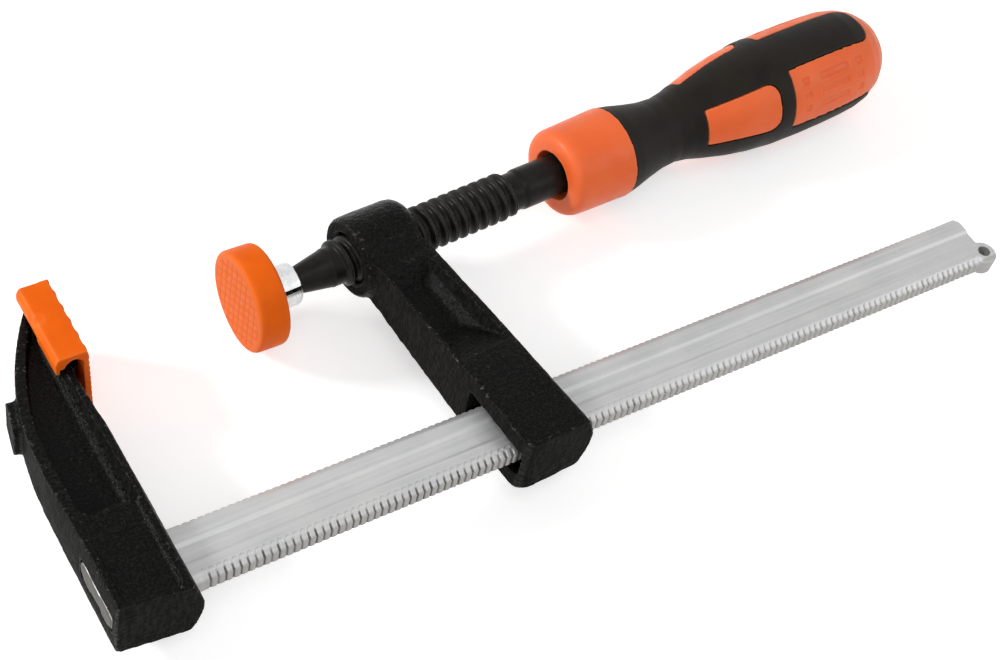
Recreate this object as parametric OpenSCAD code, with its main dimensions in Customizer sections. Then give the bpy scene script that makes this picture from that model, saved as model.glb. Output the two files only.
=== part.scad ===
// Screw clamp: a toothed rail with a fixed jaw, and a sliding arm that carries a screw.
// X runs along the rail, Y from the rail out to the jaws, Z across the clamp.
// The origin is the middle of the fixed jaw's clamping face.

/* [Rail] */
// Width of the rail across its two toothed edges
rail_w = 15; // [12:0.5:20]
// Thickness of the rail
rail_t = 5.6; // [4.5:0.1:8]
// From the clamping face of the fixed jaw to the free end of the rail
rail_reach = 219.5; // [170:0.5:320]
// Spacing of the teeth along the rail
tooth_pitch = 1.75; // [1.25:0.05:3]
// Depth of a tooth
tooth_depth = 0.45; // [0.2:0.05:0.8]

/* [Jaws] */
// From the middle of the rail to the screw axis
throat = 59; // [45:0.5:90]
// Thickness of both castings round the rail
jaw_t = 18; // [14:0.5:26]
// Width of the fixed jaw along the rail
jaw_w = 16.8; // [13:0.1:24]
// Length of the soft cap on the fixed jaw
cap_l = 22; // [16:0.5:28]

/* [Sliding arm] */
// Place of the arm along the rail
arm_x = 78; // [70:0.5:140]
// Lean of the unloaded arm, in degrees
arm_lean = 4; // [0:0.5:5]
// Width of the arm along the rail
arm_w = 17; // [14:0.2:24]
// Diameter of the screw boss
boss_d = 20.6; // [17:0.5:28]
// Length of the screw boss
boss_l = 17.7; // [14:0.5:30]

/* [Screw] */
// Outside diameter of the thread
thread_d = 12; // [10:0.5:16]
// Pitch of the thread
thread_pitch = 3; // [2:0.25:4]
// Length of the thread
thread_l = 54.8; // [40:1:90]
// Diameter of the plain shank
shank_d = 10.6; // [8:0.1:14]

/* [Pad] */
// Diameter of the pressure pad
pad_d = 24.8; // [20:0.2:36]
// Thickness of the pressure pad
pad_t = 7.8; // [7:0.1:12]
// Diameter of the swivel ball
ball_d = 11.6; // [9:0.1:13]

/* [Handle] */
// Largest diameter of the handle
handle_d = 29.7; // [24:0.1:40]
// Length of the handle
handle_l = 112.2; // [90:0.2:160]
// Diameter of the handle's front collar
collar_d = 24.1; // [19:0.1:30]

/* [Fits] */
// Clearance on each side of a piece that turns or slides
run_gap = 0.06; // [0.03:0.01:0.1]
// Clearance on each side of a piece that is fixed in another
fix_gap = 0.04; // [0.02:0.01:0.1]

/* [Hidden] */
$fn = 64;
eps = 0.01;
rail_back = -21.1;
rail_land = 1;
tooth_w = 0.95;
groove_w = 5.4;
groove_depth = 0.5;
stop_r = 3.5;
stop_x = rail_reach - 0.4;
stop_y = -rail_w / 2 + 2.5;

jaw_front = -4;
jaw_back = jaw_front - jaw_w;
jaw_foot = -rail_w / 2 - 4.2;
foot_rise = 2.2;
jaw_tip = throat + 11;
tip_t = 10.4;
web_t = 4.4;
jaw_web_t = 6.4;
cap_tip = jaw_tip + 3;
cap_foot = cap_tip - cap_l;
cap_t = 18.6;
cap_lip = 3.9;
flange_t = 1.9;
cap_wall = 1.6;
cap_hook = 1.2;
land_x = -cap_wall - fix_gap;
cap_skew = 2.6;
face_y = cap_tip - cap_l / 2;

arm_in = -4.2;
arm_out = arm_in + arm_w;
arm_foot = -rail_w / 2 - 4;
bulge = 2.8;
arm_bulge = 3.4;
neck_t = 12;
neck_w = arm_w - 2.3;
arm_taper = atan((arm_w - neck_w) / 51);
slot_low = -rail_w / 2 - 1.3;
slot_high = rail_w / 2 + 3.1;
slot_t = rail_t + 2;
boss_in = arm_in - 1.7;
boss_end = boss_in + boss_l;

thread_r = thread_d / 2;
root_r = thread_r - 1;
core_r = root_r - 0.1;
thread_start = arm_in - 7;
thread_end = thread_start + thread_l;
cone_end = thread_start - 0.3;
cone_start = cone_end - 9.1;
cone_r = root_r * 0.65;
neck_r = 2.5;
bush_back = cone_start - 0.05;
ball_r = ball_d / 2;
ball_x = bush_back - 8.8;
ball_front = ball_x - 3.3;
bush_r = ball_r - 0.45;
head_r = 3.05;
head_back = ball_x - 0.5;
head_front = ball_front + 0.15;

pad_r = pad_d / 2;
pad_back = ball_x + 1.9;
pad_front = pad_back - pad_t;
plate_r = pad_r - 1.8;
plate_back = pad_back - 0.7;
plate_front = pad_front + 1.3;
socket_floor = ball_front - 0.7;
socket_r = ball_r + 0.06;

grip_start = thread_end + 12;
grip_scale = handle_d / 29.7;
len_scale = handle_l / 112.2;
seam = grip_start + 18.4 * len_scale;
grip_end = grip_start + 102.5 * len_scale;
tang_end = grip_start + 80 * len_scale;
shell_t = 1.9;
window_angle = 57;
finger_angle = 51;
window_gap = 0.12;
window_sunk = 0.15;
tread_w = 2.1;
tread_step = 15.5;
tread_depth = 0.3;

// Rounded corners: each point is [x, y, setback], and a setback of 0 stays sharp.
function unit(v) = v / norm(v);
function soft_corner(a, b, c, t, n) =
    let (p = b + unit(a - b) * t, q = b + unit(c - b) * t)
    [for (i = [0 : n]) let (u = i / n)
        p * (1 - u) * (1 - u) + b * 2 * u * (1 - u) + q * u * u];
function soft(pts, n = 6) = let (m = len(pts), xy = [for (p = pts) [p[0], p[1]]])
    [for (i = [0 : m - 1]) each (pts[i][2] == 0 ? [xy[i]]
        : soft_corner(xy[(i + m - 1) % m], xy[i], xy[(i + 1) % m], pts[i][2], n))];

// Places children drawn from the middle line of the rail.
module on_rail() {
    translate([0, -face_y, 0])
        children();
}

// Places its children in the frame of the leaning arm.
module at_arm() {
    translate([arm_x, -face_y, 0])
        rotate([0, 0, arm_lean])
            children();
}

// Places children drawn along Z on the screw axis.
module on_screw() {
    at_arm()
        translate([0, throat, 0])
            rotate([0, 90, 0])
                children();
}

// Places children drawn along Z on the pad, square to the rail.
module on_pad() {
    at_arm()
        translate([ball_x, throat, 0])
            rotate([0, 0, -arm_lean])
                rotate([0, 90, 0])
                    translate([0, 0, -ball_x])
                        children();
}

// Extrudes an outline of [y, z] points along X.
module along_rail(x0, x1) {
    translate([x0, 0, 0])
        rotate([90, 0, 90])
            linear_extrude(height = x1 - x0)
                children();
}

function notch(x, y, s) = [[x - tooth_w / 2, s * y], [x, s * (y - tooth_depth)],
                           [x + tooth_w / 2, s * y]];
tooth_count = floor((rail_reach - 6 - rail_land) / tooth_pitch);

module rail_outline() {
    low = [for (i = [0 : tooth_count]) each notch(rail_land + i * tooth_pitch, rail_w / 2, -1)];
    high = [for (i = [tooth_count : -1 : 0]) let (n = notch(rail_land + i * tooth_pitch,
            rail_w / 2, 1)) each [n[2], n[1], n[0]]];
    polygon(concat([[rail_back, -rail_w / 2]], low, [[rail_reach, -rail_w / 2],
        [rail_reach, rail_w / 2]], high, [[rail_back, rail_w / 2]]));
}

module rail_section() {
    w = rail_w / 2;
    t = rail_t / 2;
    g = groove_w / 2;
    edge = [[w - 1.8, t], [w, t - 1.2]];
    dip = [[g - 0.9, t - groove_depth], [g, t]];
    polygon(concat(dip, edge,
        [for (i = [1 : -1 : 0]) [edge[i][0], -edge[i][1]]],
        [for (i = [1 : -1 : 0]) [dip[i][0], -dip[i][1]]],
        [for (p = dip) [-p[0], -p[1]]],
        [for (p = edge) [-p[0], -p[1]]],
        [for (i = [1 : -1 : 0]) [-edge[i][0], edge[i][1]]],
        [for (i = [1 : -1 : 0]) [-dip[i][0], dip[i][1]]]));
}

// Toothed rail with a corner staked out at its free end as the end stop.
module rail() {
    color("#c9c9cc")
    on_rail()
    difference() {
        union() {
            intersection() {
                linear_extrude(height = rail_t, center = true)
                    rail_outline();
                along_rail(rail_back, rail_reach)
                    rail_section();
            }
            translate([stop_x, stop_y, 0]) {
                cylinder(r = stop_r, h = rail_t - 1.2, center = true);
                cylinder(r = stop_r - 0.6, h = rail_t - 0.2, center = true);
            }
        }
        translate([stop_x, stop_y, rail_t / 2 - 1.4])
            cylinder(r1 = 0, r2 = 1.9, h = 1.5, $fn = 4);
    }
}

function back_x(y) = jaw_back + (jaw_w - 3.4) * pow(max(0, y - 27) / (jaw_tip - 27), 2.2);

// Thickness of a jaw, from its foot to its tip, as [y, z] points.
module jaw_taper(y0, y1, t0, t1) {
    polygon(soft([[y0, -t0 / 2, 1.2], [8, -t0 / 2, 6], [y1 - 10, -t1 / 2, 6], [y1, -t1 / 2, 0.8],
                  [y1, t1 / 2, 0.8], [y1 - 10, t1 / 2, 6], [8, t0 / 2, 6], [y0, t0 / 2, 1.2]]));
}

// Outline of the fixed jaw, whose front is moved out by grow.
module jaw_outline(grow) {
    polygon(concat(soft([[jaw_back - 0.7, 20, 0], [jaw_back - 0.7, jaw_foot + foot_rise, 2],
                         [jaw_front + grow, jaw_foot, 1.8], [jaw_front + grow, 14, 8],
                         [jaw_front, 38, 8], [jaw_front, jaw_tip, 1]]),
                   [for (i = [24 : -1 : 1]) let (y = 27 + (jaw_tip - 27) * i / 24)
                       [back_x(y), y]]));
}

module jaw_pocket() {
    y0 = rail_w / 2 + 6;
    y1 = jaw_tip - 3.5;
    x1 = jaw_front - flange_t;
    n = 14;
    polygon(concat([for (i = [0 : n]) let (y = y0 + 2 + (y1 - y0 - 2) * i / n)
                       [min(back_x(y) + 3, x1 - 0.6), y]],
                   soft([[x1, y1, 0.4], [x1, y0 - 0.5, 0.8], [x1 - 6, y0 + 1, 3],
                         [jaw_back + 5, y0, 0]])));
}

// Wedge along the rail's width that leaves a sloped wall on the front side of a pocket.
module pocket_slope(x, slope, web, cove) {
    rotate([90, 0, 0])
        linear_extrude(height = 4 * throat, center = true)
            polygon([[x, jaw_t / 2], [x - slope, web / 2 + cove], [x - slope - cove, web / 2],
                     [x - 30, web / 2], [x - 30, jaw_t], [x, jaw_t]]);
}

// Fixed jaw: an I-shaped casting fixed on the end of the rail.
module fixed_jaw() {
    nub_y = throat - 15;
    color("#232323")
    on_rail()
    difference() {
        union() {
            intersection() {
                linear_extrude(height = jaw_t, center = true)
                    jaw_outline(bulge);
                along_rail(jaw_back - 5, jaw_front + bulge + 1)
                    jaw_taper(jaw_foot, jaw_tip, jaw_t, tip_t);
                rotate([90, 0, 0])
                    linear_extrude(height = 4 * throat, center = true)
                        polygon(soft([[jaw_back, -jaw_t / 2, 0.8],
                                      [jaw_front - 0.3, -jaw_t / 2, 1.4],
                                      [jaw_front + bulge - 0.3, 0, 3],
                                      [jaw_front - 0.3, jaw_t / 2, 1.4],
                                      [jaw_back, jaw_t / 2, 0.8], [jaw_back - 0.7, 0, 3]]));
            }
            linear_extrude(height = tip_t, center = true)
                polygon(soft([[jaw_front - 1, cap_foot - 2.2, 0], [land_x, cap_foot + 1.5, 1],
                              [land_x, jaw_tip, 1], [jaw_front - 1, jaw_tip, 0]]));
            translate([back_x(nub_y) + 3, nub_y, 0])
                rotate([0, -90, -11])
                    linear_extrude(height = 5)
                        polygon(soft([[-5, -4.3, 1.5], [5, -4.3, 1.5], [5, 4.3, 1.5],
                                      [-5, 4.3, 1.5]]));
        }
        for (s = [0, 1])
            mirror([0, 0, s])
                intersection() {
                    linear_extrude(height = jaw_t)
                        jaw_pocket();
                    pocket_slope(jaw_front - flange_t + 0.4, 0.9, jaw_web_t, 1.4);
                }
        for (s = [0, 1])
            mirror([0, 0, s])
                translate([0, 0, jaw_t / 2 - 0.8])
                    linear_extrude(height = jaw_t)
                        polygon(soft([[jaw_back + 2.2, -rail_w / 2 - 1.6, 2],
                                      [jaw_front - 2.6, -rail_w / 2 - 2.6, 2],
                                      [jaw_front - flange_t - 0.6, rail_w / 2 + 8, 0],
                                      [jaw_back + 2.2, rail_w / 2 + 8, 0]]));
        translate([jaw_back - 1, -rail_w / 2 - fix_gap, -rail_t / 2 - fix_gap])
            cube([jaw_w + bulge + 2, rail_w + 2 * fix_gap, rail_t + 2 * fix_gap]);
        translate([jaw_back - 1, -rail_w / 2 - 0.9, -rail_t / 2 - 0.9])
            cube([1 + rail_back - jaw_back, rail_w + 1.8, rail_t + 1.8]);
    }
}

// Soft cap that slides over the front flange of the fixed jaw.
module fixed_jaw_cap() {
    x0 = jaw_front - cap_lip;
    inside = tip_t / 2 + 0.9;
    hook_end = cap_foot + 10;
    color("#ee6416")
    on_rail()
    difference() {
        intersection() {
            along_rail(x0, 0)
                polygon([[cap_tip, -cap_t / 2], [cap_tip, cap_t / 2], [cap_foot, cap_t / 2],
                         [cap_foot - cap_skew, -cap_t / 2]]);
            translate([0, cap_tip + 1, 0])
                rotate([90, 0, 0])
                    linear_extrude(height = cap_l + cap_skew + 2)
                        polygon(soft([[x0 + 0.8, -cap_t / 2, 0.5], [0, -cap_t / 2, 0.8],
                                      [0, cap_t / 2, 0.8], [x0 + 0.8, cap_t / 2, 0.5],
                                      [x0, cap_t / 2 - 1.6, 0.4], [x0, 1.6 - cap_t / 2, 0.4]], 4));
        }
        translate([0, hook_end, 0])
            rotate([90, 0, 0])
                linear_extrude(height = cap_l + cap_skew)
                    polygon([[-cap_wall, -inside], [-cap_wall, inside], [x0 + 1, inside],
                             [x0 + 1, inside - cap_hook], [x0 - 1, inside - cap_hook],
                             [x0 - 1, cap_hook - inside], [x0 + 1, cap_hook - inside],
                             [x0 + 1, -inside]]);
        translate([x0 - 1, hook_end - eps, -inside])
            cube([1 - x0 - cap_wall, jaw_tip + fix_gap + eps - hook_end, 2 * inside]);
        translate([x0 - 1, hook_end, -inside])
            cube([cap_lip, cap_l, 2 * inside]);
        along_rail(x0 - 1, -cap_wall - 1)
            polygon([[cap_tip, cap_t / 2], [cap_tip + 1, cap_t / 2], [cap_tip + 1, -cap_t / 2],
                     [cap_tip - cap_skew, -cap_t / 2]]);
        for (s = [-1, 1])
            translate([x0 + 4.3, cap_foot - cap_skew - 1, s * (inside - 0.4)])
                rotate([-90, 0, 0])
                    cylinder(r = 2.2, h = 6);
    }
}

module arm_outline() {
    polygon(soft([[arm_in, arm_foot + 0.4, 4.6], [arm_out + arm_bulge, arm_foot, 1.6],
                  [arm_out + arm_bulge, throat, 0], [arm_in, throat, 0]]));
}

// Section of the arm: flat at the front, drafted to its middle plane at the back.
module arm_section(x0, x1) {
    polygon(soft([[x0, -jaw_t / 2, 1.2], [x1, -jaw_t / 2, 1.4], [x1 + arm_bulge, 0, 3],
                  [x1, jaw_t / 2, 1.4], [x0, jaw_t / 2, 1.2]]));
}

// Recess in each side of the arm, with a narrow rim along the front and a rib behind.
module arm_pocket() {
    y0 = slot_high + 5;
    y1 = throat - boss_d / 2 - 0.5;
    rib0 = arm_out - (y0 + 5) * tan(arm_taper) - 1.8;
    rib1 = arm_out - (y1 + 5) * tan(arm_taper) - 1.4;
    intersection() {
        linear_extrude(height = jaw_t)
            polygon(soft([[arm_in + 1.3, y0, 2], [rib0, y0, 3], [rib1, y1, 2.5],
                          [arm_in + 1.3, y1, 2]]));
        translate([rib1, y1, 0])
            rotate([0, 0, atan((rib0 - rib1) / (y1 - y0))])
                pocket_slope(0.6, 1.6, web_t, 2.3);
        along_rail(arm_in, arm_out)
            polygon([[y0, jaw_t], [y0, jaw_t / 2], [y0 + 13, web_t / 2], [y1 - 6, web_t / 2],
                     [y1, jaw_t / 2 - 1.4], [y1, jaw_t]]);
    }
}

module screw_boss() {
    translate([0, throat, 0])
        rotate([0, 90, 0])
            rotate_extrude()
                polygon(soft([[0, boss_in, 0], [boss_d / 2, boss_in, 2], [boss_d / 2, boss_end, 4],
                              [0, boss_end, 0]]));
}

// Sliding arm: a casting with a long slot for the rail and a boss for the screw.
module sliding_arm() {
    color("#232323")
    at_arm()
    difference() {
        union() {
            intersection() {
                linear_extrude(height = jaw_t, center = true)
                    arm_outline();
                along_rail(arm_in - 1, arm_out + arm_bulge + 1)
                    jaw_taper(arm_foot, throat + 10, jaw_t, neck_t);
                rotate([90, 0, 0])
                    linear_extrude(height = 4 * throat, center = true)
                        arm_section(arm_in, arm_out + 10);
                translate([arm_out, -5, 0])
                    rotate([0, 0, arm_taper])
                        rotate([90, 0, 0])
                            linear_extrude(height = 4 * throat, center = true)
                                arm_section(-3 * arm_w, 0);
            }
            screw_boss();
        }
        for (s = [0, 1])
            mirror([0, 0, s])
                arm_pocket();
        translate([arm_in - 1, slot_low, -slot_t / 2])
            cube([arm_w + arm_bulge + 2, slot_high - slot_low, slot_t]);
        translate([boss_in - 1, throat, 0])
            rotate([0, 90, 0])
                cylinder(r = thread_r + run_gap, h = boss_l + 8);
        translate([boss_in - eps, throat, 0])
            rotate([0, 90, 0])
                cylinder(r1 = thread_r + 1.2, r2 = thread_r, h = 1.2);
        translate([boss_end + eps - 1.2, throat, 0])
            rotate([0, 90, 0])
                cylinder(r1 = thread_r, r2 = thread_r + 1.2, h = 1.2);
    }
}

// Rolled thread with rounded crests, drawn as one closed sheet along its helix.
module screw_thread(z0, l, r) {
    n = 24;
    h = thread_r - root_r;
    prof = [[0.14, 0], [0.36, 0.88 * h], [0.5, h], [0.64, 0.88 * h], [0.86, 0]];
    k = len(prof);
    m = floor((l / thread_pitch - 1) * n);
    fade = 0.6 * n;
    pts = [for (i = [0 : m]) for (j = [0 : k - 1])
        let (a = i * 360 / n, q = r + prof[j][1] * min(1, i / fade, (m - i) / fade))
        [q * cos(a), q * sin(a), z0 + thread_pitch * (i / n + prof[j][0])]];
    c0 = len(pts);
    body = [for (i = [0 : m - 1]) for (j = [0 : k - 2]) for (f = [0, 1])
        let (a = i * k + j, b = a + k) f == 0 ? [a, b, b + 1] : [a, b + 1, a + 1]];
    root = [for (i = [0 : m - 1 - n]) for (f = [0, 1])
        let (a = i * k + k - 1, b = a + k, c = (i + n) * k, d = c + k)
        f == 0 ? [a, b, d] : [a, d, c]];
    loop0 = concat([for (i = [0 : n]) i * k], [for (j = [k - 1 : -1 : 1]) j]);
    loop1 = concat([for (i = [m - n : m]) i * k + k - 1], [for (j = [k - 2 : -1 : 0]) m * k + j]);
    cap0 = [for (i = [0 : len(loop0) - 1]) [c0, loop0[(i + 1) % len(loop0)], loop0[i]]];
    cap1 = [for (i = [0 : len(loop1) - 1]) [c0 + 1, loop1[i], loop1[(i + 1) % len(loop1)]]];
    faces = [for (f = concat(body, root, cap0, cap1)) [f[0], f[2], f[1]]];
    polyhedron(points = concat(pts, [[0, 0, z0 + thread_pitch * 0.6],
                                     [0, 0, z0 + thread_pitch * (m / n + 0.4)]]),
               faces = faces, convexity = 10);
}

// Screw: thread, plain shank, cone, and the neck and head that hold the swivel ball.
module spindle() {
    color("#2a2826")
    on_screw()
    union() {
        screw_thread(thread_start, thread_l, root_r);
        rotate_extrude()
            polygon([[0, head_front], [head_r - 0.4, head_front], [head_r, head_front + 0.5],
                     [head_r, head_back], [neck_r, head_back], [neck_r, cone_start],
                     [cone_r, cone_start], [core_r, cone_end], [core_r, thread_end + 0.6],
                     [shank_d / 2, thread_end + 1.2], [shank_d / 2, grip_start + 30],
                     [shank_d / 2 - 1, grip_start + 31], [shank_d / 2 - 1, tang_end - 1],
                     [shank_d / 2 - 2, tang_end], [0, tang_end]]);
        for (a = [0, 90])
            rotate([0, 0, a])
                translate([-shank_d / 2 - 0.5, -1.2, grip_start + 44])
                    cube([shank_d + 1, 2.4, 14]);
    }
}

// Split ball that snaps on the neck of the screw. The pad tilts on it.
module swivel_ball() {
    color("#b9bcbd")
    on_screw()
    difference() {
        union() {
            intersection() {
                translate([0, 0, ball_x])
                    sphere(r = ball_r);
                translate([-20, -20, ball_front])
                    cube([40, 40, ball_x + 3 - ball_front]);
            }
            rotate_extrude()
                polygon(soft([[0, ball_x, 0], [bush_r, ball_x, 0], [bush_r, bush_back, 1.1],
                              [0, bush_back, 0]]));
        }
        translate([0, 0, ball_front - 1])
            cylinder(r = neck_r + run_gap, h = bush_back - ball_front + 2);
        translate([0, 0, ball_front - 1])
            cylinder(r = head_r + run_gap, h = head_back + run_gap - ball_front + 1);
        rotate([0, 0, -124])
            translate([0, -0.5, ball_front - 1])
                cube([20, 1, bush_back - ball_front + 2]);
    }
}

// Pressure plate with the socket for the swivel ball.
module pad_plate() {
    color("#b4b7b8")
    on_pad()
    difference() {
        translate([0, 0, plate_front])
            cylinder(r = plate_r, h = plate_back - plate_front);
        intersection() {
            translate([0, 0, ball_x])
                sphere(r = socket_r);
            translate([-20, -20, socket_floor])
                cube([40, 40, 40]);
        }
        translate([0, 0, plate_back - 0.9])
            cylinder(r1 = socket_r - 0.3, r2 = socket_r + 0.5, h = 0.9 + eps);
    }
}

// Soft cap over the pressure plate.
module pad_cap() {
    color("#ee6416")
    on_pad()
        rotate_extrude()
            polygon(soft([[0, pad_front, 0], [pad_r, pad_front, 1.2], [pad_r, pad_back, 1.2],
                          [ball_r + 0.9, pad_back, 0], [ball_r + 0.9, pad_back - 0.6, 0],
                          [plate_r + fix_gap, plate_back + fix_gap, 0],
                          [plate_r + fix_gap, plate_front - fix_gap, 0],
                          [0, plate_front - fix_gap, 0]]));
}

// Handle outline, as [distance from its front, radius].
grip_line = [[18.4, 11.95], [21.5, 11.4], [26.5, 10.2], [31.5, 9.25], [36.5, 8.95], [41, 9.6],
             [46, 10.95], [53.5, 12.7], [60, 13.8], [68, 14.6], [77, 14.85], [85, 14.85],
             [92.6, 14.65], [97.6, 14.3], [101.6, 13.5], [105.1, 12.1], [108.1, 10],
             [110.4, 7.2], [111.8, 3.9], [112.2, 0]];
function grip_z(d) = grip_start + d * len_scale;
function grip_pts(shrink) = [for (p = grip_line)
    [max(0, p[1] * grip_scale - (p[1] == 0 ? 0 : shrink)), grip_z(p[0])]];
function between(pts, z0, z1) = [for (p = pts) if (p[1] > z0 && p[1] < z1) p];
function radius_at(pts, z) = lookup(z, [for (p = pts) [p[1], p[0]]]);

window_front = grip_z(44);
window_rear = grip_z(66.4);
rear_front = grip_z(71);
butt = grip_z(112.2);
outer = grip_pts(0);
inner = grip_pts(shell_t);

// Solid of the handle's outline from z0 to z1, sunk below the surface by shrink.
module handle_body(z0, z1, shrink) {
    pts = grip_pts(shrink);
    rotate_extrude()
        polygon(concat([[0, z0], [radius_at(pts, z0), z0]], between(pts, z0, z1),
                       z1 == butt ? [[0, butt]] : [[radius_at(pts, z1), z1], [0, z1]]));
}

// Prism along a radius of the handle, from an outline of [sideways, z] points.
module radial(pts, angle) {
    rotate([0, 0, angle])
        translate([5, 0, 0])
            rotate([90, 0, 90])
                linear_extrude(height = handle_d)
                    polygon(pts);
}

function half_width(z, angle) = radius_at(outer, z) * sin(angle / 2);
function outline(z0, w0, t0, z1, w1, t1, n = 6) =
    soft([[-w0, z0, t0], [w0, z0, t0], [w1, z1, t1], [-w1, z1, t1]], n);

// Outline of a front window, and of the grip's fingers between the rear windows.
function window(grow) = outline(window_front - grow, half_width(window_front, window_angle) + grow, 0.8,
                                window_rear + grow, half_width(window_rear, window_angle) + grow, 4.4);
function finger(grow) = outline(rear_front - 1, half_width(rear_front, finger_angle) + grow, 0,
                                grip_end + grow, half_width(grip_end, finger_angle) + 0.5 + grow, 4.6);

// Shallow tread marks on the rear windows.
module tread() {
    difference() {
        for (a = [0 : 120 : 240])
            for (row = [-1 : 1])
                for (m = [[75.6, 2.6, 0.5], [85.8, 10.8, 0.9], [95.4, 2.6, 0.5]])
                    radial(outline(grip_z(m[0] - m[1] / 2), tread_w / 2, m[2],
                                   grip_z(m[0] + m[1] / 2), tread_w / 2, m[2], 3),
                           a + row * tread_step);
        handle_body(rear_front - 1, butt, window_sunk + tread_depth);
    }
}

// Hard core of the handle: collar, window pads and butt end.
module handle_core() {
    color("#e8622e")
    on_screw()
    difference() {
        union() {
            rotate_extrude()
                polygon(concat(soft([[0, grip_start, 0], [collar_d / 2 - 0.6, grip_start, 3],
                                     [collar_d / 2, seam, 0]]),
                               [[inner[0][0], seam]], between(inner, seam, grip_end + 1),
                               [[radius_at(inner, grip_end + 1), grip_end + 1], [0, grip_end + 1]]));
            for (a = [0 : 120 : 240])
                intersection() {
                    handle_body(window_front - 1, window_rear + 1, window_sunk);
                    radial(window(-window_gap), a);
                }
            difference() {
                handle_body(rear_front + window_gap, butt, window_sunk);
                for (a = [60 : 120 : 300])
                    radial(finger(window_gap), a);
            }
        }
        tread();
        translate([0, 0, grip_start - 1])
            cylinder(r = shank_d / 2 + fix_gap, h = 31 + fix_gap + 1);
        translate([0, 0, grip_start - 1])
            cylinder(r1 = shank_d / 2 + 1.4, r2 = shank_d / 2 + 0.6, h = 5);
        translate([0, 0, grip_start])
            cylinder(r = shank_d / 2 - 1 + fix_gap, h = tang_end + fix_gap - grip_start);
        for (a = [0, 90])
            rotate([0, 0, a])
                translate([-shank_d / 2 - 0.5 - fix_gap, -1.2 - fix_gap, grip_start + 44 - fix_gap])
                    cube([shank_d + 1 + 2 * fix_gap, 2.4 + 2 * fix_gap, 14 + 2 * fix_gap]);
    }
}

// Soft grip moulded over the core: two rows of windows, and fingers with round ends.
module handle_grip() {
    inside = [for (p = inner) [p[0] + fix_gap, p[1]]];
    z0 = seam + fix_gap;
    z1 = grip_end + 0.5;
    color("#26241f")
    on_screw()
    difference() {
        rotate_extrude()
            polygon(concat([[radius_at(inside, z0), z0], [radius_at(outer, z0), z0]],
                           between(outer, z0 + 0.5, z1),
                           [[radius_at(outer, z1), z1], [radius_at(inside, z1), z1]],
                           [for (i = [len(inside) - 1 : -1 : 0])
                               if (inside[i][1] > z0 + 0.5 && inside[i][1] < z1) inside[i]]));
        for (a = [0 : 120 : 240])
            radial(window(0), a);
        difference() {
            translate([0, 0, rear_front])
                cylinder(d = 2 * handle_d, h = handle_l);
            for (a = [60 : 120 : 300])
                radial(finger(0), a);
        }
    }
}

rail();
fixed_jaw();
fixed_jaw_cap();
sliding_arm();
spindle();
swivel_ball();
pad_plate();
pad_cap();
handle_core();
handle_grip();
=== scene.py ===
"""Looks of a small screw bar clamp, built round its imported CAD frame. Mesh work is in millimetres."""
import math

import bpy
import numpy as np
from mathutils import Matrix, Vector, noise


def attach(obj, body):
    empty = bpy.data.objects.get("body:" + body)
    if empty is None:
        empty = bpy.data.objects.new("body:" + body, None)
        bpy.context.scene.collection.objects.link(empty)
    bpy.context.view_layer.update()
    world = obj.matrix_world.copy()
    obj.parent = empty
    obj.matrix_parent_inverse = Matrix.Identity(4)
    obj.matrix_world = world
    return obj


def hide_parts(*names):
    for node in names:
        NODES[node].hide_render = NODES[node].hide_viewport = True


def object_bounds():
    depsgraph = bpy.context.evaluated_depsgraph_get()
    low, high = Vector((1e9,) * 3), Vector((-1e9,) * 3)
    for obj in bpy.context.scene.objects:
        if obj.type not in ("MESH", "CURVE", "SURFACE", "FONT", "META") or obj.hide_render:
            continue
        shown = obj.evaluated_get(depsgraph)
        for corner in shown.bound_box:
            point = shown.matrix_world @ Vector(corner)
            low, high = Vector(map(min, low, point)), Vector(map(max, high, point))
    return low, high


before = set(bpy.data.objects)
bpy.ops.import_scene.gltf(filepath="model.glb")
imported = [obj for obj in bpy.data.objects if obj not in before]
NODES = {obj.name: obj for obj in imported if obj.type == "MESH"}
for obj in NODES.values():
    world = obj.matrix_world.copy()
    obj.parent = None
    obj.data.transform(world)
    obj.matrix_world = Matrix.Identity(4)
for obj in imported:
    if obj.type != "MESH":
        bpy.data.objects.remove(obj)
CAD_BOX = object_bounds()
MM = 0.001


# ---------------------------------------------------------------- camera

VIEW_RIGHT = Vector((0.8415, -0.5132, 0.1691))
VIEW_UP = Vector((0.3148, 0.7200, 0.6185))
CAMERA_AT = Vector((-0.0995, -0.2395, 0.3331))
IMAGE_W = 1000
FOCAL_PX = 1855
SENSOR_MM = 36


def make_camera():
    right = VIEW_RIGHT.normalized()
    up = (VIEW_UP - VIEW_UP.dot(right) * right).normalized()
    back = right.cross(up)
    data = bpy.data.cameras.new("photo_camera")
    data.sensor_width = SENSOR_MM
    data.lens = FOCAL_PX * SENSOR_MM / IMAGE_W
    data.clip_start = 0.01
    camera = bpy.data.objects.new("photo_camera", data)
    turn = Matrix((right, up, back)).transposed().to_4x4()
    camera.matrix_world = Matrix.Translation(CAMERA_AT) @ turn
    bpy.context.scene.collection.objects.link(camera)
    bpy.context.scene.camera = camera


# ---------------------------------------------------------------- node materials

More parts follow.
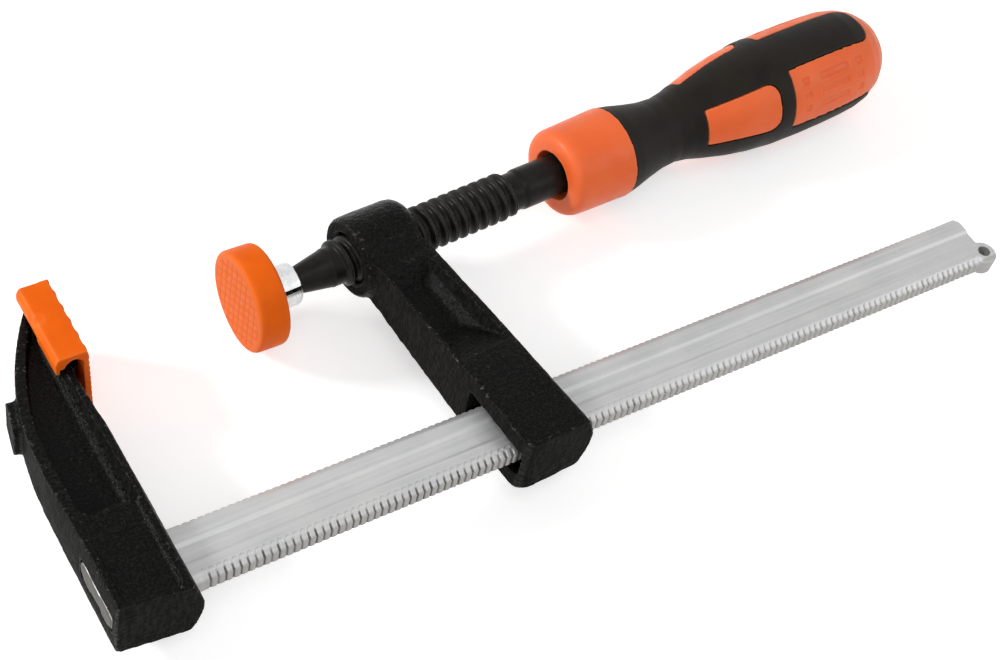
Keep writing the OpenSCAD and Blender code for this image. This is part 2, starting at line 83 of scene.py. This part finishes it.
class Paint:
    """A node material. Its texture coordinates are the object's own, in millimetres."""

    def __init__(self, name):
        self.material = bpy.data.materials.new(name)
        self.material.use_nodes = True
        self.tree = self.material.node_tree
        self.shader = self.tree.nodes["Principled BSDF"]
        coord = self.tree.nodes.new("ShaderNodeTexCoord")
        scale = self.tree.nodes.new("ShaderNodeMapping")
        scale.inputs["Scale"].default_value = (1 / MM, 1 / MM, 1 / MM)
        self.link(coord.outputs["Object"], scale.inputs["Vector"])
        self.mm = scale.outputs["Vector"]

    def link(self, a, b):
        self.tree.links.new(a, b)

    def put(self, value, socket):
        if isinstance(value, bpy.types.NodeSocket):
            self.link(value, socket)
        else:
            socket.default_value = value

    def stretch(self, sx, sy, sz):
        node = self.tree.nodes.new("ShaderNodeMapping")
        node.inputs["Scale"].default_value = (sx, sy, sz)
        self.link(self.mm, node.inputs["Vector"])
        return node.outputs["Vector"]

    def noise(self, per_mm, detail, rough, vector=None):
        node = self.tree.nodes.new("ShaderNodeTexNoise")
        node.inputs["Scale"].default_value = per_mm
        node.inputs["Detail"].default_value = detail
        node.inputs["Roughness"].default_value = rough
        self.link(vector or self.mm, node.inputs["Vector"])
        return node.outputs["Fac"]

    def cells(self, per_mm):
        node = self.tree.nodes.new("ShaderNodeTexVoronoi")
        node.inputs["Scale"].default_value = per_mm
        self.link(self.mm, node.inputs["Vector"])
        return node.outputs["Distance"]

    def attribute(self, name):
        node = self.tree.nodes.new("ShaderNodeAttribute")
        node.attribute_name = name
        return node.outputs["Fac"]

    def math(self, kind, a, b):
        node = self.tree.nodes.new("ShaderNodeMath")
        node.operation = kind
        self.put(a, node.inputs[0])
        self.put(b, node.inputs[1])
        return node.outputs[0]

    def span(self, fac, low, high, out_low=0.0, out_high=1.0):
        node = self.tree.nodes.new("ShaderNodeMapRange")
        node.clamp = True
        self.put(fac, node.inputs["Value"])
        node.inputs["From Min"].default_value = low
        node.inputs["From Max"].default_value = high
        node.inputs["To Min"].default_value = out_low
        node.inputs["To Max"].default_value = out_high
        return node.outputs[0]

    def mix(self, fac, a, b):
        node = self.tree.nodes.new("ShaderNodeMix")
        node.data_type = "RGBA"
        self.put(fac, node.inputs["Factor"])
        self.put(a, node.inputs[6])
        self.put(b, node.inputs[7])
        return node.outputs[2]

    def bump(self, height, depth_mm, normal=None):
        node = self.tree.nodes.new("ShaderNodeBump")
        node.inputs["Strength"].default_value = 1.0
        node.inputs["Distance"].default_value = depth_mm * MM
        self.link(height, node.inputs["Height"])
        if normal:
            self.link(normal, node.inputs["Normal"])
        return node.outputs["Normal"]

    def set(self, **values):
        for name, value in values.items():
            self.put(value, self.shader.inputs[name.replace("_", " ")])


def rgb(r, g, b):
    return (r, g, b, 1.0)


def zinc_rail():
    """Bright zinc over drawn steel: drawing lines, soft blotches, scuffs, and painted shade in the tooth
    marks, in the stop's dimple, on the sides and on the sawn end.
    """
    p = Paint("zinc_rail")
    lines = p.noise(1.0, 4, 0.6, p.stretch(0.02, 1.6, 1.6))
    fine = p.noise(1.0, 3, 0.6, p.stretch(0.10, 9.0, 9.0))
    blotch = p.noise(0.09, 3, 0.5)
    scuff = p.span(p.noise(0.9, 4, 0.6), 0.64, 0.74)
    shade_mask = p.attribute("shade_mask")
    base = p.mix(p.span(blotch, 0.35, 0.65), rgb(0.485, 0.488, 0.495), rgb(0.55, 0.55, 0.545))
    base = p.mix(p.span(lines, 0.40, 0.64, 0.0, 0.7), base, rgb(0.60, 0.60, 0.60))
    base = p.mix(p.math("MULTIPLY", scuff, 0.6), base, rgb(0.50, 0.49, 0.47))
    # Painted shade: the rail's sides and sawn end are darkened.
    base = p.mix(p.math("MULTIPLY", p.attribute("side_shade"), 0.55), base, rgb(0.30, 0.29, 0.26))
    # Painted shade: near-black in the tooth notches, the stop's dimple and the sawn end, where the zinc also
    # loses its shine.
    base = p.mix(p.span(shade_mask, 0.2, 0.9, 0.0, 0.85), base, rgb(0.080, 0.076, 0.066))
    rough = p.math("ADD", p.span(lines, 0.3, 0.7, 0.40, 0.50), p.math("MULTIPLY", scuff, 0.12))
    normal = p.bump(fine, 0.006)
    normal = p.bump(lines, 0.02, normal)
    normal = p.bump(blotch, 0.25, normal)
    p.set(Base_Color=base, Metallic=p.span(shade_mask, 0.3, 0.75, 0.6, 0.0), Roughness=rough, Normal=normal,
          Specular_IOR_Level=p.span(shade_mask, 0.3, 0.75, 0.5, 0.02))
    return p.material


def black_casting():
    """Black powder coat: glossy pebbles on the cast skin with lighter spots painted in as glints, dull
    strokes where it was filed, pale scuffs.
    """
    p = Paint("black_casting")
    peel = p.noise(1.1, 3, 0.55)
    grain = p.noise(4.5, 3, 0.6)
    patch = p.noise(0.12, 3, 0.5)
    base = p.mix(p.span(patch, 0.35, 0.7), rgb(0.0008, 0.0008, 0.0007), rgb(0.0018, 0.0018, 0.0016))
    base = p.mix(p.span(grain, 0.58, 0.76, 0.0, 0.5), base, rgb(0.017, 0.016, 0.0145))
    # Painted glints: lighter spots at pebble size stand in for the glints off the pebbled coat.
    base = p.mix(p.span(p.noise(1.6, 2, 0.5), 0.46, 0.62, 0.0, 0.75), base, rgb(0.0095, 0.0092, 0.0080))
    chips = p.math("MULTIPLY", p.attribute("wear"), p.span(p.noise(0.8, 5, 0.7), 0.58, 0.68))
    base = p.mix(p.math("MULTIPLY", chips, 0.8), base, rgb(0.20, 0.19, 0.17))
    filed = p.attribute("filed")
    strokes = p.span(p.noise(1.0, 3, 0.6, p.stretch(1.5, 1.5, 0.28)), 0.40, 0.62)
    base = p.mix(filed, base, p.mix(strokes, rgb(0.0065, 0.0063, 0.0060), rgb(0.0175, 0.0170, 0.0160)))
    rough = p.span(p.noise(0.3, 3, 0.5), 0.3, 0.7, 0.19, 0.28)
    rough = p.math("ADD", rough, p.math("MULTIPLY", filed, 0.35))
    normal = p.bump(grain, 0.07)
    normal = p.bump(peel, 0.30, normal)
    p.set(Base_Color=base, Metallic=0.0, Roughness=rough, Normal=normal,
          Specular_IOR_Level=p.span(filed, 0.0, 1.0, 0.068, 0.016))
    return p.material


def orange_cap():
    """Soft moulded plastic, matt, with a fine moulding grain; dulled where it has pressed on work; painted
    shade in the pad's lozenge cuts.
    """
    p = Paint("orange_cap")
    patch = p.noise(0.16, 3, 0.5)
    grain = p.noise(6.0, 2, 0.5)
    base = p.mix(p.span(patch, 0.35, 0.65), rgb(0.86, 0.124, 0.0035), rgb(0.91, 0.142, 0.0045))
    base = p.mix(p.attribute("rubbed"), base, rgb(0.80, 0.155, 0.026))
    base = p.mix(p.math("MULTIPLY", p.attribute("wear"), 0.45), base, rgb(0.92, 0.27, 0.08))
    # Painted shade in the pad's lozenge cuts.
    base = p.mix(p.span(p.attribute("shade_mask"), 0.0, 1.0, 0.0, 0.35), base, rgb(0.42, 0.07, 0.012))
    rough = p.span(p.noise(0.5, 3, 0.5), 0.35, 0.65, 0.44, 0.58)
    p.set(Base_Color=base, Roughness=rough, Normal=p.bump(grain, 0.012), Specular_IOR_Level=0.10,
          Subsurface_Weight=0.12, Subsurface_Scale=0.002, Subsurface_Radius=(1.0, 0.35, 0.1))
    return p.material


def orange_core():
    """Hard moulded plastic with a satin face: paler edges, painted shade in the inner corners and a few dark
    specks.
    """
    p = Paint("orange_core")
    patch = p.noise(0.08, 3, 0.5)
    grain = p.noise(5.0, 2, 0.5)
    base = p.mix(p.span(patch, 0.35, 0.65), rgb(0.92, 0.142, 0.030), rgb(0.97, 0.166, 0.040))
    base = p.mix(p.math("MULTIPLY", p.attribute("wear"), 0.3), base, rgb(0.92, 0.28, 0.12))
    # Painted shade: darker in the inner corners and recesses.
    base = p.mix(p.math("MULTIPLY", p.attribute("hollow"), 0.35), base, rgb(0.50, 0.07, 0.015))
    specks = p.span(p.cells(0.22), 0.02, 0.045, 0.5, 0.0)
    base = p.mix(specks, base, rgb(0.30, 0.05, 0.015))
    rough = p.span(p.noise(0.35, 3, 0.5), 0.35, 0.65, 0.34, 0.48)
    p.set(Base_Color=base, Roughness=rough, Normal=p.bump(grain, 0.010), Specular_IOR_Level=0.28,
          Subsurface_Weight=0.12, Subsurface_Scale=0.002, Subsurface_Radius=(1.0, 0.35, 0.1))
    return p.material


def black_grip():
    """Soft overmould: dull, faintly warm, with a spark-eroded grain and greasy handling marks."""
    p = Paint("black_grip")
    grain = p.noise(5.5, 3, 0.6)
    patch = p.noise(0.10, 4, 0.55)
    base = p.mix(p.span(patch, 0.35, 0.7), rgb(0.0075, 0.0057, 0.0040), rgb(0.0155, 0.0122, 0.0086))
    base = p.mix(p.math("MULTIPLY", p.attribute("wear"), 0.25), base, rgb(0.05, 0.045, 0.04))
    rough = p.math("ADD", p.span(patch, 0.35, 0.65, 0.44, 0.56), p.span(grain, 0.3, 0.7, -0.04, 0.04))
    p.set(Base_Color=base, Roughness=rough, Normal=p.bump(grain, 0.02), Specular_IOR_Level=0.12)
    return p.material


def black_steel():
    """Black oxide on rolled steel: deep and oily, rubbed lighter on the crests."""
    p = Paint("black_steel")
    patch = p.noise(0.35, 4, 0.6)
    fine = p.noise(3.0, 4, 0.6)
    base = p.mix(p.span(patch, 0.35, 0.7), rgb(0.0050, 0.0047, 0.0041), rgb(0.012, 0.0112, 0.0095))
    rubbed = p.math("MULTIPLY", p.attribute("wear"), p.span(fine, 0.42, 0.62))
    base = p.mix(p.math("MULTIPLY", rubbed, 0.5), base, rgb(0.075, 0.070, 0.064))
    rough = p.span(fine, 0.3, 0.7, 0.26, 0.40)
    p.set(Base_Color=base, Metallic=0.0, Roughness=rough, Normal=p.bump(fine, 0.015), Specular_IOR_Level=0.12)
    return p.material


def zinc_small():
    """Zinc plate on small turned parts."""
    p = Paint("zinc_small")
    patch = p.noise(0.5, 3, 0.5)
    fine = p.noise(5.0, 3, 0.6)
    base = p.mix(p.span(patch, 0.35, 0.65), rgb(0.66, 0.68, 0.70), rgb(0.82, 0.82, 0.80))
    p.set(Base_Color=base, Metallic=1.0, Roughness=p.span(fine, 0.3, 0.7, 0.20, 0.34),
          Normal=p.bump(fine, 0.01))
    return p.material


# ---------------------------------------------------------------- studio

FLOOR_GAP = 0.0004
FLOOR_HALF = 4.0
FLOOR_GLOW = 0.5
WORLD_LEVEL = 0.36
BACKDROP_LEVEL = 1.0
LAMP_AIM = (0.09, -0.02, 0.0)
# Name, place and size in metres, watts.
LAMPS = [("key", (-0.70, 0.42, 0.50), (0.22, 0.18), 6.6),
         ("top", (-0.10, -0.45, 1.10), (0.80, 0.60), 2.2),
         ("fill", (-0.70, -0.80, 0.60), (0.80, 0.80), 2.3),
         ("side", (0.90, -0.60, 0.55), (0.50, 0.50), 1.5)]


def seen_rays(tree):
    """1 for rays that show the backdrop: from the camera, off metal and gloss, and through glass."""
    path = tree.nodes.new("ShaderNodeLightPath")
    total = path.outputs["Is Camera Ray"]
    for kind in ("Is Glossy Ray", "Is Transmission Ray"):
        add = tree.nodes.new("ShaderNodeMath")
        add.operation = "MAXIMUM"
        tree.links.new(total, add.inputs[0])
        tree.links.new(path.outputs[kind], add.inputs[1])
        total = add.outputs[0]
    return total


def studio_floor(z):
    """White ground that glows for the camera and in reflections, and still takes the shadow."""
    p = Paint("studio_floor")
    tone = p.noise(0.004, 2, 0.5)
    p.set(Base_Color=p.mix(p.span(tone, 0.3, 0.7), rgb(0.86, 0.86, 0.86), rgb(0.88, 0.88, 0.88)),
          Roughness=0.9, Specular_IOR_Level=0.1)
    glow = p.math("MULTIPLY", seen_rays(p.tree), FLOOR_GLOW)
    p.set(Emission_Color=rgb(1, 1, 1), Emission_Strength=glow)
    mesh = bpy.data.meshes.new("studio_floor")
    h = FLOOR_HALF
    mesh.from_pydata([(-h, -h, z), (h, -h, z), (h, h, z), (-h, h, z)], [], [(0, 1, 2, 3)])
    floor = bpy.data.objects.new("studio_floor", mesh)
    mesh.materials.append(p.material)
    bpy.context.scene.collection.objects.link(floor)


def area_light(name, at, size, watts):
    data = bpy.data.lights.new(name, "AREA")
    data.shape = "RECTANGLE"
    data.size, data.size_y = size
    data.energy = watts
    lamp = bpy.data.objects.new(name, data)
    lamp.location = at
    lamp.rotation_euler = (Vector(LAMP_AIM) - Vector(at)).to_track_quat("-Z", "Y").to_euler()
    bpy.context.scene.collection.objects.link(lamp)


def make_light():
    """Plain light for the object, with a white backdrop that only the seen rays meet."""
    world = bpy.data.worlds.new("studio")
    world.use_nodes = True
    tree = world.node_tree
    sky = tree.nodes["Background"]
    sky.inputs["Color"].default_value = (1, 1, 1, 1)
    strength = tree.nodes.new("ShaderNodeMapRange")
    strength.inputs["To Min"].default_value = WORLD_LEVEL
    strength.inputs["To Max"].default_value = BACKDROP_LEVEL
    tree.links.new(seen_rays(tree), strength.inputs["Value"])
    tree.links.new(strength.outputs[0], sky.inputs["Strength"])
    bpy.context.scene.world = world
    for name, at, size, watts in LAMPS:
        area_light(name, at, size, watts)


# ---------------------------------------------------------------- mesh work, in millimetres

def remeshed(node, name, voxel_mm, rounds):
    """A fine even copy of a CAD node with softened edges."""
    piece = bpy.data.objects.new(name, NODES[node].data.copy())
    bpy.context.scene.collection.objects.link(piece)
    remesh = piece.modifiers.new("remesh", "REMESH")
    remesh.mode = "VOXEL"
    remesh.voxel_size = voxel_mm * MM
    smooth = piece.modifiers.new("smooth", "SMOOTH")
    smooth.factor = 0.5
    smooth.iterations = rounds
    shaped = piece.evaluated_get(bpy.context.evaluated_depsgraph_get())
    solid = bpy.data.meshes.new_from_object(shaped)
    piece.modifiers.clear()
    piece.data = solid
    return piece


def points(piece):
    """Vertices in millimetres."""
    co = np.empty(len(piece.data.vertices) * 3, np.float32)
    piece.data.vertices.foreach_get("co", co)
    return co.reshape(-1, 3).astype(float) / MM


def directions(piece):
    """Outward normal at each vertex."""
    normal = np.empty(len(piece.data.vertices) * 3, np.float32)
    piece.data.vertex_normals.foreach_get("vector", normal)
    return normal.reshape(-1, 3).astype(float)


def move_to(piece, co):
    piece.data.vertices.foreach_set("co", (co * MM).astype(np.float32).ravel())
    piece.data.update()


def neighbours(piece):
    """Edges, and how many edges meet at each vertex."""
    edges = np.empty(len(piece.data.edges) * 2, np.int32)
    piece.data.edges.foreach_get("vertices", edges)
    edges = edges.reshape(-1, 2)
    return edges, np.bincount(edges.ravel(), minlength=len(piece.data.vertices)).clip(1)


def average(values, edges, count, rounds):
    """Spreads values over the surface."""
    for _ in range(rounds):
        total = np.zeros_like(values)
        np.add.at(total, edges[:, 0], values[edges[:, 1]])
        np.add.at(total, edges[:, 1], values[edges[:, 0]])
        values = 0.5 * values + 0.5 * (total.T / count).T
    return values


def store(piece, name, values):
    """Writes one number from 0 to 1 on each vertex, for the materials."""
    piece.data.attributes.new(name, "FLOAT", "POINT").data.foreach_set(
        "value", np.clip(values, 0, 1).astype(np.float32))


def mark_edges(piece, edge_mm, hollow_mm):
    """Writes "wear" on outer edges and "hollow" in inner corners, from how far each point stands out."""
    co = points(piece)
    edges, count = neighbours(piece)
    out = ((co - average(co, edges, count, 10)) * directions(piece)).sum(axis=1)
    out = average(out, edges, count, 2)
    store(piece, "wear", out / edge_mm)
    store(piece, "hollow", -out / hollow_mm)


def lumps(co, per_mm, seed):
    """Smooth noise from 0 to 1 at each point."""
    off = Vector((seed * 17.3, seed * 5.1, seed * 29.7))
    return np.array([0.5 + 0.5 * noise.noise(Vector(v) * per_mm + off) for v in co.tolist()])


def sink(piece, depth_mm):
    """Presses each point in along its normal."""
    move_to(piece, points(piece) - directions(piece) * np.asarray(depth_mm)[:, None])


def finish_piece(piece, node, body, material):
    """Paints a piece and hands it to its CAD body in place of its node."""
    piece.data.materials.clear()
    piece.data.materials.append(material)
    piece.data.polygons.foreach_set("material_index", [0] * len(piece.data.polygons))
    piece.data.shade_smooth()
    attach(piece, body)
    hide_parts(node)


def smoothstep(x, low, high):
    t = np.clip((x - low) / (high - low), 0, 1)
    return t * t * (3 - 2 * t)


# ---------------------------------------------------------------- pieces

# The rail's middle line is y = -FACE_Y. The arm meets it at ARM_X, and the screw passes THROAT above it.
FACE_Y = 62.0
ARM_X = 78.0
ARM_LEAN = math.radians(4)
THROAT = 59.0


CAST_VOXEL = 0.36
PEBBLE_DEPTH = 0.16
SMALL_DEPTH = 0.07
SLOW_DEPTH = 0.16
STROKE_DEPTH = 0.07


def casting(node, name, body, material):
    """Sand casting: softened corners, a pebbled skin, and file strokes on the faces square to the rail."""
    piece = remeshed(node, name, CAST_VOXEL, 7)
    co = points(piece)
    normal = directions(piece)
    edges, count = neighbours(piece)
    broad = average(normal, edges, count, 6)
    pebble = lumps(co, 0.85, 1)
    small = lumps(co, 1.9, 2)
    slow = lumps(co, 0.16, 3)
    strokes = lumps(co * np.array([0.9, 0.9, 0.12]), 1.6, 4)
    ends = np.clip(np.abs(broad[:, 0]) * 1.6 - 0.6, 0, 1)
    sink(piece, 0.02 + PEBBLE_DEPTH * pebble ** 1.5 * (1 - 0.6 * ends) + SMALL_DEPTH * small
         + SLOW_DEPTH * slow + STROKE_DEPTH * strokes * ends)
    mark_edges(piece, 0.16, 0.16)
    store(piece, "filed", smoothstep(np.abs(broad[:, :2]).max(axis=1), 0.80, 0.94))
    finish_piece(piece, node, body, material)


RIPPLE_DEPTH = 0.34
NICK_DEPTH = 0.3
NICK_AT = np.array([-7.0, 1.4, 9.1])
NICK_SIZE = np.array([1.1, 0.9, 1.0])
NICK_RIM_AT = np.array([-6.6, 1.2, 9.1])
NICK_RIM_SIZE = np.array([1.5, 1.5, 1.2])
RIPPLE_PITCH = 4.1


def jaw_cap(material):
    """Soft cap with a rippled clamping face and a nick on its back edge."""
    piece = remeshed("fixed_jaw_cap", "jaw_cap_rippled", 0.22, 2)
    co = points(piece)
    front = smoothstep(directions(piece)[:, 0], 0.3, 0.8) * smoothstep(co[:, 0], -1.3, -0.3)
    ripple = 0.5 - 0.5 * np.cos(2 * math.pi * (co[:, 1] + 1.2) / RIPPLE_PITCH)
    nick = np.exp(-(((co - NICK_AT) / NICK_SIZE) ** 2).sum(axis=1))
    slow = lumps(co, 0.22, 5)
    sink(piece, RIPPLE_DEPTH * ripple * front + NICK_DEPTH * nick + 0.08 * slow)
    mark_edges(piece, 0.12, 0.12)
    from_rim = (((co - NICK_RIM_AT) / NICK_RIM_SIZE) ** 2).sum(axis=1) - 1
    rim = np.exp(-from_rim ** 2 * 4)
    store(piece, "rubbed", 0.25 * front)
    wear = np.empty(len(co), np.float32)
    piece.data.attributes["wear"].data.foreach_get("value", wear)
    wear = np.clip(wear + 0.4 * rim, 0, 1).astype(np.float32)
    piece.data.attributes["wear"].data.foreach_set("value", wear)
    finish_piece(piece, "fixed_jaw_cap", "rail_frame", material)


PAD_AXIS_YZ = (-5.198, 0.0)
PAD_FACE_X = 38.606
PAD_R = 12.4
LOZENGE_W = 2.3
LOZENGE_H = 2.5
LOZENGE_SLANT = 1.1
LOZENGE_DEPTH = 0.16


def pad_face(material):
    """Soft pad cap: rounded rim, and columns of slanted lozenges on its face."""
    piece = remeshed("pad_cap", "pad_cap_chequered", 0.24, 5)
    co = points(piece)
    y, z = co[:, 1] - PAD_AXIS_YZ[0], co[:, 2] - PAD_AXIS_YZ[1]
    radius = np.hypot(y, z)
    face = smoothstep(-directions(piece)[:, 0], 0.6, 0.95) * smoothstep(PAD_FACE_X - co[:, 0], -1.0, -0.5)
    inner = face * (1 - smoothstep(radius, PAD_R - 2.2, PAD_R - 1.5))
    column = np.round(y / LOZENGE_W)
    across = y / LOZENGE_W - column
    along = (z + LOZENGE_SLANT * across) / LOZENGE_H + 0.5 * (column % 2)
    cut = 1 - np.minimum(smoothstep(0.5 - np.abs(across), 0.03, 0.16),
                         smoothstep(np.abs(along - np.round(along)), 0.04, 0.20))
    slow = lumps(co, 0.18, 6)
    sink(piece, LOZENGE_DEPTH * cut * inner + 0.06 * slow)
    mark_edges(piece, 0.16, 0.2)
    store(piece, "rubbed", 0.85 * smoothstep(face, 0.3, 0.9))
    # Marks the lozenge cuts for painted shade.
    store(piece, "shade_mask", cut * inner * 0.65)
    finish_piece(piece, "pad_cap", "pad", material)


RAIL_HALF_W = 7.5
TOOTH_PITCH = 1.75
TOOTH_FIRST = 1.0
TOOTH_DEPTH = 0.34
LOBE_DEPTH = 0.07
TEETH_END = 217.0
# Painted shade in the tooth notches weakens along the rail between these two x positions (mm), by this share.
NOTCH_SHADE_FADE_FROM = 60
NOTCH_SHADE_FADE_TO = 150
NOTCH_SHADE_FADE = 0.4
RAIL_BACK = -20.7
STOP_X = 219.1
STOP_Y = -5.0


def toothed_rail(material):
    """Drawn rail: arched tooth marks rolled over its edges, a dimple in the stop, and a rough sawn end."""
    piece = remeshed("rail", "rail_rolled", 0.24, 1)
    co = points(piece)
    y = co[:, 1] + FACE_Y
    phase = (co[:, 0] - TOOTH_FIRST) / TOOTH_PITCH
    tooth = np.stack([np.round(phase) * 3.1, np.sign(y) * 7, np.zeros(len(co))], axis=1)
    swing = lumps(tooth, 1.0, 7)
    off = np.abs(phase - np.round(phase))
    arch = 0.9 * np.sin(math.pi * off) + 0.35 * swing
    edge = np.abs(y) - np.where(y < 0, RAIL_HALF_W - 1.5 - arch, RAIL_HALF_W - 0.5)
    ends = smoothstep(TEETH_END - co[:, 0], 0, 1.5) * smoothstep(co[:, 0], -1, 0)
    lobe = smoothstep(edge, 0.0, 0.3) * ends
    band = smoothstep(edge, 0.0, 0.8) * ends
    cut = (1 - smoothstep(off, 0.03, 0.22)) * (0.6 + 0.6 * swing)
    flat = smoothstep(np.abs(directions(piece)[:, 2]), 0.2, 0.6)
    dimple = (1 - smoothstep(np.hypot(co[:, 0] - STOP_X, y - STOP_Y), 1.4, 1.9)) * (co[:, 2] > 0)
    rough_end = smoothstep(RAIL_BACK - co[:, 0], 0.0, 0.2)
    slow = lumps(co * np.array([0.25, 1, 1]), 0.35, 8)
    marks = (TOOTH_DEPTH * band * cut + LOBE_DEPTH * lobe * (y < 0)) * flat
    sink(piece, marks + 0.05 * slow + 0.25 * rough_end * slow)
    mark_edges(piece, 0.12, 0.12)
    # Painted shade: dark lines in the tooth notches and along the near edge, weaker further along the rail;
    # also painted shade in the stop's dimple and on the sawn end.
    rim = 0.5 * np.exp(-(edge / 0.22) ** 2) * ends * (y < 0)
    dark = np.maximum(band * (0.3 + 0.7 * np.clip(cut, 0, 1) ** 1.5), rim)
    dark *= 1 - NOTCH_SHADE_FADE * smoothstep(co[:, 0], NOTCH_SHADE_FADE_FROM, NOTCH_SHADE_FADE_TO)
    sawn = rough_end * (0.8 + 0.4 * lumps(co, 0.45, 11))
    store(piece, "shade_mask", np.maximum(dark, np.maximum(dimple, sawn)))
    # Marks the rail's sides and sawn end for painted shade.
    side = smoothstep(np.abs(y), RAIL_HALF_W - 0.7, RAIL_HALF_W - 0.2)
    store(piece, "side_shade", np.maximum(side, rough_end))
    finish_piece(piece, "rail", "rail_frame", material)


THREAD_START = -11.2
THREAD_PITCH = 3.0
THREAD_TURNS = 17.25
CREST_R = 6.0
ROOT_R = 5.0
THREAD_L = 55.4
ROUND_STEPS = 96
# Half outline of the screw, (along, radius): head, neck, cone, thread core, shank and tang.
SCREW_LINE = [(-32.6, 0.0), (-32.6, 2.65), (-32.1, 3.05), (-29.95, 3.05), (-29.9, 2.5), (-20.6, 2.5),
              (-20.59, 3.0), (-20.4, 3.2), (-11.9, 4.70), (-11.45, 4.88), (43.9, 4.9), (44.2, 4.95),
              (44.8, 5.25), (45.2, 5.3), (85.6, 5.3), (86.6, 4.3), (134.6, 4.3), (135.6, 3.3),
              (135.6, 0.0)]


def on_screw(x, r, angle):
    """Points round the screw's axis, x along it from the arm, placed in the clamp's frame."""
    y, z = THROAT + r * np.sin(angle), -r * np.cos(angle)
    c, s = math.cos(ARM_LEAN), math.sin(ARM_LEAN)
    return np.stack([ARM_X + x * c - y * s, x * s + y * c - FACE_Y, z + 0 * x], axis=-1)


def rolled_screw(material):
    """Screw with a rolled thread: rounded crests over a flat root, fading out at both ends."""
    line_x = np.array([p[0] for p in SCREW_LINE]) + np.arange(len(SCREW_LINE)) * 1e-6
    line_r = np.array([p[1] for p in SCREW_LINE])
    fine = np.arange(THREAD_START - 0.2, THREAD_START + THREAD_L, 0.14)
    cone = np.linspace(-20.3, -11.95, 24)
    shank = np.linspace(46, 85, 30)
    xs = np.unique(np.concatenate([line_x, fine, cone, shank]))
    angle = np.arange(ROUND_STEPS) * 2 * math.pi / ROUND_STEPS
    grid_x, grid_a = np.meshgrid(xs, angle, indexing="ij")
    radius = np.interp(grid_x, line_x, line_r)
    turn = (grid_x - THREAD_START) / THREAD_PITCH - grid_a / (2 * math.pi)
    share = turn - np.floor(turn)
    along = np.floor(turn) + grid_a / (2 * math.pi)
    fade = np.clip(np.minimum(along / 0.12, (THREAD_TURNS - along) / 0.6), 0, 1)
    fade = np.where((along < 0) | (along > THREAD_TURNS), 0, fade)
    crest = np.minimum(smoothstep(share, 0.12, 0.40), 1 - smoothstep(share, 0.60, 0.88))
    crest = crest - 0.16 * np.exp(-((share - 0.5) / 0.05) ** 2)
    thread_r = ROOT_R + (CREST_R - ROOT_R - 0.02) * crest * fade
    inside = (grid_x > THREAD_START - 0.2) & (grid_x < THREAD_START + THREAD_L - 0.1)
    radius = np.where(inside & (crest * fade > 0.001), np.maximum(radius, thread_r), radius)
    ring_marks = 0.012 * np.sin(grid_x * 9.0) * ((grid_x > -20.4) & (grid_x < -11.9))
    co = on_screw(grid_x, np.maximum(radius - 0.01 + ring_marks, 0), grid_a).reshape(-1, 3)
    ring = [(j, (j + 1) % ROUND_STEPS) for j in range(ROUND_STEPS)]
    starts = [i * ROUND_STEPS for i in range(len(xs) - 1)]
    quads = [(k + a, k + b, k + ROUND_STEPS + b, k + ROUND_STEPS + a) for k in starts for a, b in ring]
    mesh = bpy.data.meshes.new("screw_rolled")
    mesh.from_pydata([tuple(v) for v in co * MM], [], quads)
    mesh.validate()
    piece = bpy.data.objects.new("screw_rolled", mesh)
    bpy.context.scene.collection.objects.link(piece)
    store(piece, "wear", (crest * fade * inside).ravel() ** 3)
    finish_piece(piece, "spindle", "screw", material)


def handle_piece(node, name, material, voxel_mm, rounds, depth_mm):
    """Moulded half of the handle, with softened edges and a faintly uneven skin."""
    piece = remeshed(node, name, voxel_mm, rounds)
    co = points(piece)
    sink(piece, 0.01 + depth_mm * lumps(co, 0.14, 9) + 0.3 * depth_mm * lumps(co, 0.5, 10))
    mark_edges(piece, 0.12, 0.10)
    finish_piece(piece, node, "screw", material)


def keep_node(name, material, bevel_mm):
    """A CAD node whose shape is right: its edges are broken and it gets its finish."""
    ob = NODES[name]
    for slot in ob.material_slots:
        slot.link = "OBJECT"
        slot.material = material
    bevel = ob.modifiers.new("broken_edges", "BEVEL")
    bevel.width = bevel_mm * MM
    bevel.segments = 2
    bevel.limit_method = "ANGLE"
    bevel.angle_limit = math.radians(40)


make_camera()
cast = black_casting()
soft_orange = orange_cap()
zinc = zinc_small()

casting("fixed_jaw", "fixed_jaw_cast", "rail_frame", cast)
casting("sliding_arm", "sliding_arm_cast", "arm", cast)
jaw_cap(soft_orange)
pad_face(soft_orange)
toothed_rail(zinc_rail())
rolled_screw(black_steel())
handle_piece("handle_core", "handle_core_moulded", orange_core(), 0.26, 2, 0.05)
handle_piece("handle_grip", "handle_grip_moulded", black_grip(), 0.26, 3, 0.06)
keep_node("swivel_ball", zinc, 0.15)
keep_node("pad_plate", zinc, 0.2)

studio_floor(CAD_BOX[0][2] - FLOOR_GAP)
make_light()

bpy.context.scene.view_settings.view_transform = "Standard"
